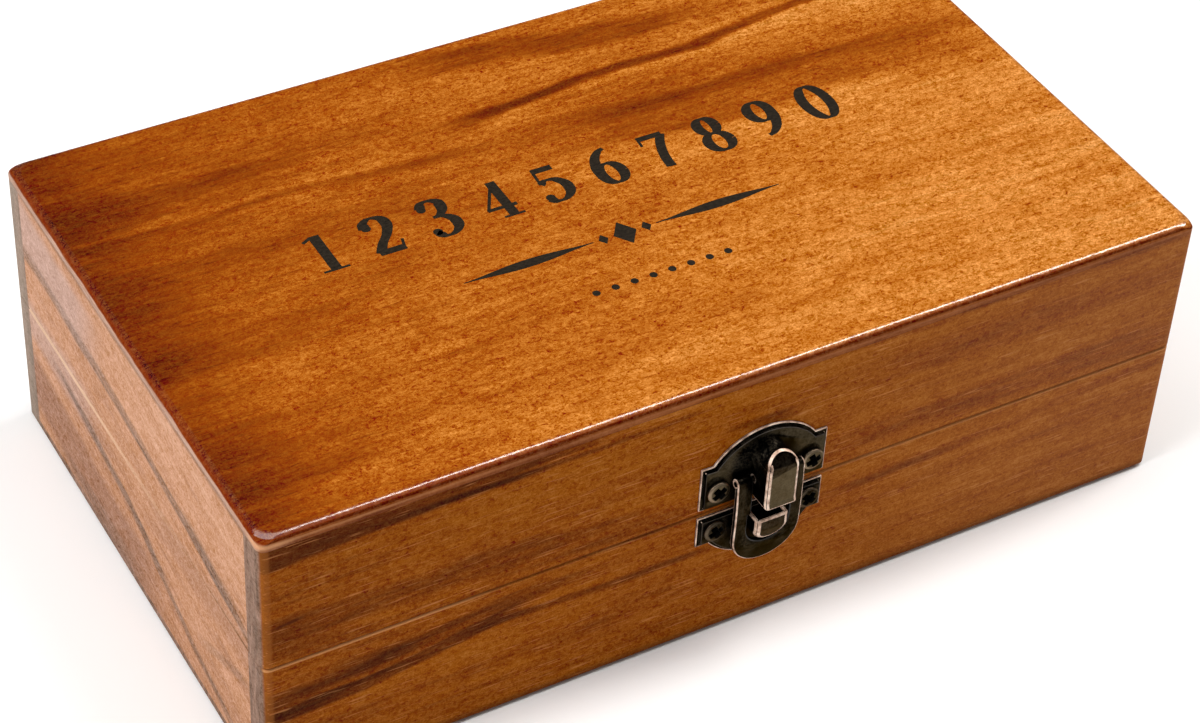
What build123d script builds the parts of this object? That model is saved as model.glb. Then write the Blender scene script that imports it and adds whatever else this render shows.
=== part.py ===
"""A small wooden stamp box: boards and panels, two rear hinges, and a hasp latch on the front."""
from build123d import *
import os

# Millimetres. X runs along the front, Y from front to back, Z up; the origin is under the middle of the box.

# Box as a whole
box_length = 155.0
box_depth = 91.0
box_height = 50.0
split_height = 25.4
split_gap = 0.15

# Boards and panels
board_thickness = 4.8
base_panel_thickness = 2.0
lid_panel_thickness = 2.0
corner_easing = 1.3
split_easing = 0.2
lid_panel_edge_radius = 1.2
base_panel_chamfer = 0.8
largest_rounding_share = 0.7
largest_corner_share = 0.93

# Rear hinges
hinge_inset = 31.5
hinge_width = 18.0
leaf_reach = 9.5
leaf_thickness = 0.9
barrel_radius = 1.5
barrel_clearance = 0.1
knuckle_gap = 0.2
leaf_sweep_clearance = 0.3
hinge_pin_radius = 0.6
hinge_pin_overhang = 0.3
hinge_screw_spacing = 10.0
hinge_screw_height = 5.6
hinge_screw_head_radius = 1.5
hinge_screw_head_height = 0.6
hinge_screw_shank_radius = 0.75
hinge_screw_length = 3.9

# Latch plates: a thin flange round a raised field
latch_offset = 2.1
latch_plate_width = 21.4
flange_thickness = 0.4
flange_width = 0.6
field_thickness = 0.9

# Latch plate on the lid, heights above the split
upper_plate_low = 1.2
upper_ear_top = 9.35
upper_arch_half_width = 8.65
upper_arch_rise = 4.5
upper_screw_height = 4.7

# Latch plate on the base, depths below the split
lower_plate_top = 0.35
lower_ear_depth = 5.95
lower_arch_half_width = 8.5
lower_arch_rise = 4.2
lower_screw_depth = 3.0

# Hood pressed out of the upper plate, open below
hood_half_width = 2.65
hood_low = 2.6
hood_arch_height = 9.5
hood_shoulder_height = 10.2
hood_top_reach = 4.2
hood_face_reach = 5.7
hood_lip_reach = 6.0
hood_lip_height = 0.8
hood_wall = 0.6
hood_crease_radius = 0.8
hood_chamfer = 0.3

# Nose pressed out of the lower plate, open above, which the flap's ring drops over
nose_half_width = 2.75
nose_top_depth = 1.05
nose_straight = 2.15
nose_top_reach = 4.2
nose_foot_reach = 3.3
nose_wall = 0.6
nose_crease_radius = 1.2
nose_chamfer = 0.4

# Flap: two arms with rolled eyes, and a ring at the foot
flap_pin_stand_off = 1.85
flap_pin_height = 5.85
flap_pin_radius = 0.4
flap_eye_radius = 0.85
flap_half_width = 5.7
flap_thickness = 0.9
flap_foot_stand_off = 1.4
flap_belly = 0.35
flap_foot_depth = 10.7
flap_slot_half_width = 3.1
flap_ring_half_width = 3.6
flap_ring_top_depth = 0.3
flap_ring_bar = 3.9

# Latch screws
latch_screw_spacing = 16.0
latch_screw_head_radius = 1.85
latch_screw_head_height = 0.75
latch_screw_shank_radius = 0.8
latch_screw_length = 3.9

# Fits
running_clearance = 0.05
thread_clearance = 0.03
point_clearance = 0.3

# Places worked out from the sizes above
half_depth = box_depth / 2
base_top = split_height - split_gap / 2
lid_bottom = split_height + split_gap / 2
lid_board_top = box_height - lid_panel_thickness
side_board_length = box_depth - 2 * board_thickness
hinge_axis_y = half_depth + barrel_radius + barrel_clearance
hinge_places = [hinge_inset - box_length / 2, box_length / 2 - hinge_inset]
knuckle_length = (hinge_width - 2 * knuckle_gap) / 3
hinge_pin_length = hinge_width + 2 * hinge_pin_overhang
flap_pin_y = -half_depth - flap_pin_stand_off
flap_pin_z = split_height + flap_pin_height
latch_pilot_radius = latch_screw_shank_radius + thread_clearance
latch_pilot_depth = latch_screw_length - field_thickness + point_clearance
hinge_pilot_radius = hinge_screw_shank_radius + thread_clearance
hinge_pilot_depth = hinge_screw_length - leaf_thickness + point_clearance


def front_plane(stand_off=0.0):
    """Faces forward at the latch's middle and the split's height; its Y runs up."""
    origin = (latch_offset, -half_depth - stand_off, split_height)
    return Plane(origin=origin, x_dir=(1, 0, 0), z_dir=(0, -1, 0))


def back_plane(x_middle, stand_off=0.0):
    """Faces backward at one hinge's middle and the split's height; its Y runs up."""
    origin = (x_middle, half_depth + stand_off, split_height)
    return Plane(origin=origin, x_dir=(-1, 0, 0), z_dir=(0, 1, 0))


def keep(piece, name):
    """Names a finished piece and writes it."""
    piece.part.label = name
    export_step(piece.part, f"parts/{name}.step")


def latch_screw_places(height):
    """The middles of one latch plate's two screws on the front plane."""
    return [(-latch_screw_spacing / 2, height), (latch_screw_spacing / 2, height)]


def hinge_screw_places(up):
    """The middles of one leaf's two screws on the back plane."""
    height = up * hinge_screw_height
    return [(-hinge_screw_spacing / 2, height), (hinge_screw_spacing / 2, height)]


# Boards and panels

def drill(plane, places, radius, depth):
    """Round holes that go from a face into the piece, to a depth."""
    with BuildSketch(plane) as holes:
        with Locations(*places):
            Circle(radius)
    extrude(holes.sketch, amount=-depth, mode=Mode.SUBTRACT)


def drill_long_board(side, up):
    """The pilot holes of the hardware on one long board: the lid's (up 1) or the base's (up -1)."""
    if side < 0:
        height = upper_screw_height if up > 0 else -lower_screw_depth
        drill(front_plane(), latch_screw_places(height), latch_pilot_radius, latch_pilot_depth)
    else:
        for x_middle in hinge_places:
            drill(back_plane(x_middle), hinge_screw_places(up), hinge_pilot_radius, hinge_pilot_depth)


def long_board(side, up):
    """A front (side -1) or back (side 1) board of the lid (up 1) or the base (up -1), full length."""
    bottom, top = (lid_bottom, lid_board_top) if up > 0 else (base_panel_thickness, base_top)
    with BuildPart() as board:
        with BuildSketch(Plane.XY.offset(bottom)):
            with Locations((0, side * (box_depth - board_thickness) / 2)):
                Rectangle(box_length, board_thickness)
        extrude(amount=top - bottom)
        uprights = board.edges().filter_by(Axis.Z).sort_by(Axis.Y)
        outer_uprights = uprights[:2] if side < 0 else uprights[-2:]
        fillet(outer_uprights, radius=min(corner_easing, largest_rounding_share * board_thickness))
        split_face = board.faces().sort_by(Axis.Z)[0 if up > 0 else -1]
        rim = split_face.edges().sort_by(Axis.Y)
        chamfer(rim[:-1] if side < 0 else rim[1:], length=split_easing)
        drill_long_board(side, up)
    return board


def side_board(side, up):
    """A left (side -1) or right (side 1) board of the lid or the base, butted between the long ones."""
    bottom, top = (lid_bottom, lid_board_top) if up > 0 else (base_panel_thickness, base_top)
    with BuildPart() as board:
        with BuildSketch(Plane.XY.offset(bottom)):
            with Locations((side * (box_length - board_thickness) / 2, 0)):
                Rectangle(board_thickness, side_board_length)
        extrude(amount=top - bottom)
        split_face = board.faces().sort_by(Axis.Z)[0 if up > 0 else -1]
        outer_edge = split_face.edges().sort_by(Axis.X)[0 if side < 0 else -1]
        chamfer(outer_edge, length=split_easing)
    return board


def panel_easing(wanted, thickness):
    """The rounding of a panel's edge, limited by the panel and by the upright corners that it goes round."""
    return min(wanted, largest_rounding_share * thickness, largest_corner_share * corner_easing)


def panel(up):
    """The lid's top panel, rounded over all round, or the base's bottom panel, with a small chamfer.

    Their corners are flush with the boards' corners.
    """
    thickness = lid_panel_thickness if up > 0 else base_panel_thickness
    bottom = lid_board_top if up > 0 else 0
    with BuildPart() as sheet:
        with BuildSketch(Plane.XY.offset(bottom)):
            RectangleRounded(box_length, box_depth, radius=corner_easing)
        extrude(amount=thickness)
        if up > 0:
            rounding = panel_easing(lid_panel_edge_radius, thickness)
            fillet(sheet.faces().sort_by(Axis.Z)[-1].edges(), radius=rounding)
        else:
            easing = panel_easing(base_panel_chamfer, thickness)
            chamfer(sheet.faces().sort_by(Axis.Z)[0].edges(), length=easing)
    return sheet


# Rear hinges

def hinge_leaf(x_middle, up):
    """A leaf with its knuckles: the lid's (up 1) has the middle one, the base's (up -1) the outer two."""
    left = x_middle - hinge_width / 2
    step = knuckle_length + knuckle_gap
    starts = [left + step] if up > 0 else [left, left + 2 * step]
    low = barrel_radius + leaf_sweep_clearance
    with BuildPart() as leaf:
        with BuildSketch(back_plane(x_middle)):
            with Locations((0, up * (low + leaf_reach) / 2)):
                Rectangle(hinge_width, leaf_reach - low)
        extrude(amount=leaf_thickness)
        for start in starts:
            with BuildSketch(Plane.YZ.offset(start)):
                with Locations((hinge_axis_y, split_height)):
                    Circle(barrel_radius)
                with Locations((half_depth + leaf_thickness / 2, split_height + up * low / 2)):
                    Rectangle(leaf_thickness, low)
            extrude(amount=knuckle_length)
        with BuildSketch(Plane.YZ.offset(left)):
            with Locations((hinge_axis_y, split_height)):
                Circle(hinge_pin_radius + running_clearance)
        extrude(amount=hinge_width, mode=Mode.SUBTRACT)
        outside = back_plane(x_middle, leaf_thickness)
        drill(outside, hinge_screw_places(up), hinge_pilot_radius, leaf_thickness)
    return leaf


def hinge_pin(x_middle):
    """The pin through one hinge's knuckles, a little longer than they are."""
    with BuildPart() as pin:
        with BuildSketch(Plane.YZ.offset(x_middle - hinge_pin_length / 2)):
            with Locations((hinge_axis_y, split_height)):
                Circle(hinge_pin_radius)
        extrude(amount=hinge_pin_length)
    return pin


# Screws

def pan_head_screws(seats, places, head_radius, head_height, shank_radius, length):
    """Screws at the same places on each seat: their heads stand in front of it, their shanks go behind it."""
    with BuildPart() as screws:
        for seat in seats:
            with BuildSketch(seat):
                with Locations(*places):
                    Circle(head_radius)
            extrude(amount=head_height)
            with BuildSketch(seat):
                with Locations(*places):
                    Circle(shank_radius)
            extrude(amount=-length)
    return screws


def latch_screws(height):
    """The two screws of one latch plate."""
    return pan_head_screws(
        seats=[front_plane(field_thickness)],
        places=latch_screw_places(height),
        head_radius=latch_screw_head_radius,
        head_height=latch_screw_head_height,
        shank_radius=latch_screw_shank_radius,
        length=latch_screw_length,
    )


def hinge_screws(up):
    """The four screws that hold both hinges to the lid (up 1) or to the base (up -1)."""
    return pan_head_screws(
        seats=[back_plane(x_middle, leaf_thickness) for x_middle in hinge_places],
        places=hinge_screw_places(up),
        head_radius=hinge_screw_head_radius,
        head_height=hinge_screw_head_height,
        shank_radius=hinge_screw_shank_radius,
        length=hinge_screw_length,
    )


# Latch plates

def ear_and_arch(up, edge, ear, arch_half_width, arch_rise):
    """Outline of a latch plate: straight at the split, ears at the sides and an arch away from the split."""
    half = latch_plate_width / 2
    with BuildLine() as outline:
        Polyline(
            (-arch_half_width, up * ear),
            (-half, up * ear),
            (-half, up * edge),
            (half, up * edge),
            (half, up * ear),
            (arch_half_width, up * ear),
        )
        ThreePointArc((arch_half_width, up * ear), (0, up * (ear + arch_rise)), (-arch_half_width, up * ear))
    make_face(outline.edges())


def latch_plate(outline, screw_height):
    """A plate with a thin flange round its raised field, and a hole for each screw."""
    with BuildPart() as plate:
        with BuildSketch(front_plane()):
            ear_and_arch(*outline)
        extrude(amount=flange_thickness)
        with BuildSketch(front_plane()):
            ear_and_arch(*outline)
            offset(amount=-flange_width, kind=Kind.INTERSECTION, mode=Mode.REPLACE)
        extrude(amount=field_thickness)
        outside = front_plane(field_thickness)
        drill(outside, latch_screw_places(screw_height), latch_pilot_radius, field_thickness)
    return plate.part


def creases(outline, stand_off):
    """The two corners of a side profile on the line that stands this far off the box's front."""
    return outline.vertices().sort_by(lambda corner: abs(corner.X + half_depth + stand_off))[:2]


def front_rim(form, open_end):
    """The edges round the front of a pressed form, without those of its open end and its back."""
    back = form.faces().sort_by(Axis.Y)[-1]
    rim = form.edges() - open_end.edges() - back.edges()
    return rim.filter_by(Axis.X, reverse=True).filter_by(Axis.Y, reverse=True)


def hood_form(inset):
    """The hood's outer form, or its hollow when it is inset by the sheet."""
    half = hood_half_width - inset
    foot = hood_low - inset
    peak = hood_arch_height + hood_half_width
    with BuildPart() as form:
        with BuildSketch(Plane.YZ.offset(latch_offset - half)) as side:
            with BuildLine():
                Polyline(
                    side_point(0, foot),
                    side_point(hood_lip_reach - inset, foot),
                    side_point(hood_face_reach - inset, hood_low + hood_lip_height),
                    side_point(hood_face_reach - inset, hood_shoulder_height),
                    side_point(hood_top_reach - inset, peak),
                    side_point(0, peak),
                    close=True,
                )
            make_face()
            fillet(creases(side, hood_face_reach - inset), radius=hood_crease_radius)
        extrude(amount=2 * half)
        with BuildSketch(front_plane(field_thickness)):
            with Locations((0, (foot + hood_arch_height) / 2)):
                Rectangle(2 * half, hood_arch_height - foot)
            with Locations((0, hood_arch_height)):
                Circle(half)
        extrude(amount=hood_lip_reach - field_thickness, mode=Mode.INTERSECT)
    return form


def nose_form(inset):
    """The nose's outer form, or its hollow when it is inset by the sheet."""
    half = nose_half_width - inset
    head = inset - nose_top_depth
    turn = -nose_top_depth - nose_straight
    foot = turn - nose_half_width
    with BuildPart() as form:
        with BuildSketch(Plane.YZ.offset(latch_offset - half)) as side:
            with BuildLine():
                Polyline(
                    side_point(0, foot),
                    side_point(nose_foot_reach - inset, foot),
                    side_point(nose_top_reach - inset, turn),
                    side_point(nose_top_reach - inset, head),
                    side_point(0, head),
                    close=True,
                )
            make_face()
            lower_crease = creases(side, nose_top_reach - inset).sort_by(Axis.Y)[0]
            fillet(lower_crease, radius=nose_crease_radius)
        extrude(amount=2 * half)
        with BuildSketch(front_plane(field_thickness)):
            with Locations((0, (head + turn) / 2)):
                Rectangle(2 * half, head - turn)
            with Locations((0, turn)):
                Circle(half)
        extrude(amount=nose_top_reach - field_thickness, mode=Mode.INTERSECT)
    return form


def side_point(stand_off, height):
    """A point of a side profile: how far it stands off the box's front, and its height above the split."""
    return (-half_depth - stand_off, split_height + height)


def flap_pin_bore(radius):
    """Cuts a round hole along the flap's pin, through whatever the pin passes."""
    with BuildSketch(Plane.YZ.offset(latch_offset - flap_half_width)) as bore:
        with Locations((flap_pin_y, flap_pin_z)):
            Circle(radius)
    extrude(bore.sketch, amount=2 * flap_half_width, mode=Mode.SUBTRACT)


def upper_plate():
    """The lid's plate, with the hood that carries the flap's pin."""
    outline = (1, upper_plate_low, upper_ear_top, upper_arch_half_width, upper_arch_rise)
    plate = latch_plate(outline, upper_screw_height)
    outside, hollow = hood_form(0), hood_form(hood_wall)
    with BuildPart() as hood:
        add(outside.part)
        chamfer(front_rim(hood, hood.faces().sort_by(Axis.Z)[0]), length=hood_chamfer)
        add(hollow.part, mode=Mode.SUBTRACT)
    with BuildPart() as whole:
        add(plate)
        add(hood.part)
        flap_pin_bore(flap_pin_radius + running_clearance)
    return whole


def lower_plate():
    """The base's plate, with the nose that the flap's ring drops over."""
    outline = (-1, lower_plate_top, lower_ear_depth, lower_arch_half_width, lower_arch_rise)
    plate = latch_plate(outline, -lower_screw_depth)
    outside, hollow = nose_form(0), nose_form(nose_wall)
    with BuildPart() as nose:
        add(outside.part)
        chamfer(front_rim(nose, nose.faces().sort_by(Axis.Z)[-1]), length=nose_chamfer)
        add(hollow.part, mode=Mode.SUBTRACT)
    with BuildPart() as whole:
        add(plate)
        add(nose.part)
    return whole


# Flap and its pin

def flap_front():
    """Front view of the flap: arms with a slot between them, round foot and the ring's opening."""
    ring_middle = flap_half_width - flap_foot_depth
    opening_middle = flap_ring_bar + flap_ring_half_width - flap_foot_depth
    with Locations((0, (ring_middle + flap_pin_height) / 2)):
        Rectangle(2 * flap_half_width, flap_pin_height - ring_middle)
    with Locations((0, ring_middle)):
        Circle(flap_half_width)
    with Locations((0, (flap_pin_height - flap_ring_top_depth) / 2)):
        Rectangle(2 * flap_slot_half_width, flap_pin_height + flap_ring_top_depth, mode=Mode.SUBTRACT)
    with Locations((0, (opening_middle - flap_ring_top_depth) / 2)):
        Rectangle(2 * flap_ring_half_width, -flap_ring_top_depth - opening_middle, mode=Mode.SUBTRACT)
    with Locations((0, opening_middle)):
        Circle(flap_ring_half_width, mode=Mode.SUBTRACT)


def flap_side():
    """Side view of the flap's sheet: a shallow curve from the front of the eyes down to the foot."""
    head_front = flap_pin_stand_off + flap_eye_radius
    foot_front = flap_foot_stand_off + flap_thickness
    middle_front = (head_front + foot_front) / 2 + flap_belly
    middle_height = (flap_pin_height - flap_foot_depth) / 2
    head_back, middle_back = head_front - flap_thickness, middle_front - flap_thickness
    with BuildLine() as outline:
        ThreePointArc(
            side_point(head_front, flap_pin_height),
            side_point(middle_front, middle_height),
            side_point(foot_front, -flap_foot_depth),
        )
        Line(side_point(foot_front, -flap_foot_depth), side_point(flap_foot_stand_off, -flap_foot_depth))
        ThreePointArc(
            side_point(flap_foot_stand_off, -flap_foot_depth),
            side_point(middle_back, middle_height),
            side_point(head_back, flap_pin_height),
        )
        Line(side_point(head_back, flap_pin_height), side_point(head_front, flap_pin_height))
    make_face(outline.edges())


def latch_flap():
    """The flap: a curved ring of sheet whose arms end in eyes rolled round the pin."""
    left = latch_offset - flap_half_width
    arm_width = flap_half_width - flap_slot_half_width
    with BuildPart() as flap:
        with BuildSketch(front_plane()):
            flap_front()
        extrude(amount=flap_pin_stand_off + flap_eye_radius + flap_belly)
        with BuildSketch(Plane.YZ.offset(left)):
            flap_side()
        extrude(amount=2 * flap_half_width, mode=Mode.INTERSECT)
        for start in (left, latch_offset + flap_slot_half_width):
            with BuildSketch(Plane.YZ.offset(start)):
                with Locations((flap_pin_y, flap_pin_z)):
                    Circle(flap_eye_radius)
            extrude(amount=arm_width)
        flap_pin_bore(flap_pin_radius + running_clearance)
    return flap


def latch_pin():
    """The pin through the hood and the flap's two eyes, flush with the eyes."""
    with BuildPart() as pin:
        with BuildSketch(Plane.YZ.offset(latch_offset - flap_half_width)):
            with Locations((flap_pin_y, flap_pin_z)):
                Circle(flap_pin_radius)
        extrude(amount=2 * flap_half_width)
    return pin


def build_box():
    """Makes and writes every piece."""
    os.makedirs("parts", exist_ok=True)
    for body, up in (("base", -1), ("lid", 1)):
        keep(long_board(-1, up), f"{body}_front_board")
        keep(long_board(1, up), f"{body}_back_board")
        keep(side_board(-1, up), f"{body}_left_board")
        keep(side_board(1, up), f"{body}_right_board")
        keep(panel(up), "lid_top_panel" if up > 0 else "base_bottom_panel")
        keep(hinge_screws(up), f"hinge_{body}_screws")
        for side, x_middle in zip(("left", "right"), hinge_places):
            keep(hinge_leaf(x_middle, up), f"hinge_{side}_{body}_leaf")
    for side, x_middle in zip(("left", "right"), hinge_places):
        keep(hinge_pin(x_middle), f"hinge_{side}_pin")
    keep(upper_plate(), "latch_upper_plate")
    keep(lower_plate(), "latch_lower_plate")
    keep(latch_flap(), "latch_flap")
    keep(latch_pin(), "latch_pin")
    keep(latch_screws(upper_screw_height), "latch_upper_screws")
    keep(latch_screws(-lower_screw_depth), "latch_lower_screws")


build_box()
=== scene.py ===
"""Looks of the wooden stamp box: stained boards, a varnished and printed lid, antique hardware."""

import math

import bmesh
import bpy
from mathutils import Matrix, Vector


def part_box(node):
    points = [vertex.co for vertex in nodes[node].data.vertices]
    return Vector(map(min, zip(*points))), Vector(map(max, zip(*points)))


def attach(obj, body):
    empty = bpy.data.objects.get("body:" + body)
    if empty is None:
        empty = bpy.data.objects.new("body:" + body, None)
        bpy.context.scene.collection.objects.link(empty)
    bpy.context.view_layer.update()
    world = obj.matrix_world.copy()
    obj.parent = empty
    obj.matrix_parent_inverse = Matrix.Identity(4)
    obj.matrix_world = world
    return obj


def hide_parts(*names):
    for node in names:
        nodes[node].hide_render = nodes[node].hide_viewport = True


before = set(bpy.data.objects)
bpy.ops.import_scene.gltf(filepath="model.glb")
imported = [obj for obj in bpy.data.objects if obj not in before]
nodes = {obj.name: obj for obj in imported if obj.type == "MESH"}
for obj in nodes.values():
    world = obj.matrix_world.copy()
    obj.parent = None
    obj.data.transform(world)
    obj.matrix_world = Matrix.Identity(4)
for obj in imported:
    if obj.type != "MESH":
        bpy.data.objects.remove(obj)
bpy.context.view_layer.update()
scene = bpy.context.scene

MM = 0.001
BRIGHTEST = 0.95
DARKEST = (0.0005, 0.0005, 0.0005)

# Light that each face of the box gets, as a share of what shows a white surface as white
ON_TOP, ON_FRONT, ON_LEFT, ON_METAL = 1.56, 0.86, 1.42, 1.45


def srgb(red, green, blue, light=1.0):
    """The linear colour, with full alpha, that shows as these screen values under this light."""
    def linear(value):
        value /= 255
        return value / 12.92 if value <= 0.04045 else ((value + 0.055) / 1.055) ** 2.4
    return tuple(min(linear(value) / light, BRIGHTEST) for value in (red, green, blue)) + (1.0,)


def shades(light, *stops):
    """A ramp's stops from (place, red, green, blue), whose colours show as these under this light."""
    return [(place, srgb(*screen, light)) for place, *screen in stops]


class Graph:
    """A material's node tree, written as expressions."""

    def __init__(self, name):
        self.material = bpy.data.materials.new(name)
        self.material.use_nodes = True
        self.tree = self.material.node_tree
        self.tree.nodes.clear()
        coords = self.add("TexCoord")
        self.point = self.vector("MULTIPLY", coords.outputs["Object"], (1000.0, 1000.0, 1000.0))
        self.x, self.y, self.z = self.parts(self.point)
        self.face_x, self.face_y, self.face_z = self.parts(coords.outputs["Normal"])

    def add(self, kind, *values, **settings):
        """A new node with these values on its first sockets, in order, and with these settings."""
        node = self.tree.nodes.new("ShaderNode" + kind)
        for key, value in settings.items():
            setattr(node, key, value)
        for socket, value in zip(node.inputs, values):
            self.put(socket, value)
        return node

    def put(self, socket, value):
        """Links a socket to another node's output, or sets its own number, vector or colour."""
        if isinstance(value, bpy.types.NodeSocket):
            self.tree.links.new(value, socket)
        elif socket.type == "VECTOR":
            socket.default_value = value[:3]
        else:
            socket.default_value = value

    def fill(self, node, values):
        """Puts values on a node's sockets by name."""
        for name, value in values.items():
            self.put(node.inputs[name], value)
        return node

    def math(self, operation, *values):
        return self.add("Math", *values, operation=operation).outputs[0]

    def vector(self, operation, *values):
        return self.add("VectorMath", *values, operation=operation).outputs[0]

    def parts(self, vector):
        return self.add("SeparateXYZ", vector).outputs[:3]

    def joined(self, x, y, z):
        return self.add("CombineXYZ", x, y, z).outputs[0]

    def off(self, value, middle=0.0):
        """How far a value is off a middle, on either side."""
        return self.math("ABSOLUTE", self.math("SUBTRACT", value, middle))

    def total(self, *terms):
        """The sum of value times weight over (value, weight) pairs."""
        result = 0.0
        for value, weight in terms:
            result = self.math("MULTIPLY_ADD", value, weight, result)
        return result

    def centred(self, noise):
        """Noise, which lies round a half, as a value round zero."""
        return self.math("SUBTRACT", noise, 0.5)

    def noise(self, size, detail=3.0, roughness=0.5, distortion=0.0, shift=(0.0, 0.0, 0.0), point=None):
        """Noise whose grains are about as large as size, in millimetres along each axis."""
        scaled = self.vector("MULTIPLY", point or self.point, tuple(1.0 / s for s in size))
        moved = self.vector("ADD", scaled, shift)
        node = self.fill(self.add("TexNoise"), {
            "Vector": moved, "Scale": 1.0,
            "Detail": detail, "Roughness": roughness, "Distortion": distortion})
        return node.outputs["Fac"]

    def wander(self, value, size, reach):
        """A value moved up and down by noise, by up to about reach / 4."""
        return self.math("MULTIPLY_ADD", self.centred(self.noise(size)), reach, value)

    def span(self, value, low, high, to_low=0.0, to_high=1.0, smooth=True):
        """The value's way from low to high, as a number from to_low to to_high."""
        curve = "SMOOTHSTEP" if smooth else "LINEAR"
        return self.add("MapRange", value, low, high, to_low, to_high, interpolation_type=curve).outputs[0]

    def both(self, *masks):
        """The product of masks."""
        result = masks[0]
        for mask in masks[1:]:
            result = self.math("MULTIPLY", result, mask)
        return result

    def mix(self, factor, a, b):
        node = self.fill(self.add("Mix", factor, data_type="RGBA"), {"A": a, "B": b})
        return node.outputs["Result"]

    def over(self, colour, stain, mask, strength=1.0):
        """A colour with a stain laid over it where the mask says, at this strength."""
        return self.mix(self.math("MULTIPLY", mask, strength), colour, stain)

    def ramp(self, value, stops):
        node = self.add("ValToRGB", value)
        elements = node.color_ramp.elements
        while len(elements) < len(stops):
            elements.new(0.5)
        for element, (place, colour) in zip(elements, stops):
            element.position = place
            element.color = colour
        return node.outputs[0]

    def tinted(self, colour, amount, tint, blue=1.0):
        """A colour made lighter or darker by a signed amount of tint, with its own share for blue."""
        spread = self.joined(amount, amount, self.math("MULTIPLY", amount, blue))
        changed = self.vector("MULTIPLY_ADD", spread, tint, colour)
        return self.vector("MAXIMUM", changed, DARKEST)

    def band(self, along, across, path, half_width, feather, fade):
        """A soft band that follows a path of (along, across) points, as a mask from 0 to 1."""
        line = path[0][1]
        for (a0, b0), (a1, b1) in zip(path, path[1:]):
            step = self.span(along, a0, a1, 0.0, b1 - b0, smooth=False)
            line = self.math("ADD", step, line)
        body = self.span(self.off(across, line), half_width, half_width + feather, 1.0, 0.0)
        begin = self.span(along, path[0][0] - fade, path[0][0] + fade)
        finish = self.span(along, path[-1][0] - fade, path[-1][0] + fade, 1.0, 0.0)
        return self.both(body, begin, finish)

    def banded(self, tone, along, across, bands):
        """A tone changed by bands, each given as its path, half width, feather, fade and change."""
        for path, half_width, feather, fade, change in bands:
            mask = self.band(along, across, path, half_width, feather, fade)
            tone = self.math("MULTIPLY_ADD", mask, change, tone)
        return tone

    def patch(self, a, b, middle, radii, feather):
        """A soft round patch round a middle (a, b)."""
        da = self.math("DIVIDE", self.math("SUBTRACT", a, middle[0]), radii[0])
        db = self.math("DIVIDE", self.math("SUBTRACT", b, middle[1]), radii[1])
        reach = self.math("SQRT", self.total((da, da), (db, db)))
        return self.span(reach, 1.0 - feather, 1.0 + feather, 1.0, 0.0)

    def bump(self, height, strength, distance):
        node = self.fill(self.add("Bump"), {"Strength": strength, "Distance": distance, "Height": height})
        return node.outputs[0]

    def surface(self, colour, roughness, normal=None, metallic=0.0, specular=0.5, edge=(1.0, 1.0, 1.0),
                coat=0.0, coat_roughness=0.1, coat_ior=1.5):
        """Finishes the material; edge is the tint of what it mirrors at a grazing angle."""
        shader = self.fill(self.add("BsdfPrincipled"), {
            "Base Color": colour, "Roughness": roughness, "Metallic": metallic,
            "Specular IOR Level": specular, "Specular Tint": edge + (1.0,),
            "Coat Weight": coat, "Coat Roughness": coat_roughness, "Coat IOR": coat_ior})
        if normal is not None:
            self.fill(shader, {"Normal": normal, "Coat Normal": normal})
        self.add("OutputMaterial", shader.outputs[0])
        return self.material


# Wood

ALONG_X, ALONG_Y = 0, 1

# How far the bare inside reaches from the middle, then the heights of the middle, of the split between base
# and lid, and of the joint under the lid's panel
INSIDE_X, INSIDE_Y, INSIDE_Z = 72.75, 40.75, 23.1
MID_HEIGHT, SPLIT, JOINT = 25, 25.4, 48

# Light at the lid's edge and at its rubbed front left corner
ON_EDGE, ON_CORNER = 0.8, 0.9


def stretched(size, ratio, axis):
    """A grain size that is longer along one axis."""
    return tuple(size * ratio if i == axis else size for i in range(3))


def raw_inside(g, colour, axis):
    """Puts bare pale wood, its grain along one axis, on the faces inside the box."""
    inside = g.both(g.math("LESS_THAN", g.off(g.x), INSIDE_X), g.math("LESS_THAN", g.off(g.y), INSIDE_Y),
                    g.math("LESS_THAN", g.off(g.z, MID_HEIGHT), INSIDE_Z))
    grain = g.noise(stretched(1.5, 17, axis), 4, 0.6)
    bare = g.ramp(grain, shades(1, (0.3, 176, 132, 88), (0.52, 204, 164, 118), (0.75, 219, 184, 140)))
    return g.mix(inside, colour, bare)


def flecks(g, axis):
    """The short light and dark flecks of sanded, stained wood, as a value round zero."""
    small = g.noise(stretched(0.42, 1.2, axis), 2, 0.6, 1.6)
    middle = g.noise(stretched(0.85, 1.5, axis), 2, 0.55, 1.4, (11, 3, 5))
    large = g.noise(stretched(1.9, 1.8, axis), 2, 0.5, 0.8, (2, 17, 9))
    return g.total((g.centred(small), 12), (g.centred(middle), 9.5), (g.centred(large), 2.6))


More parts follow.
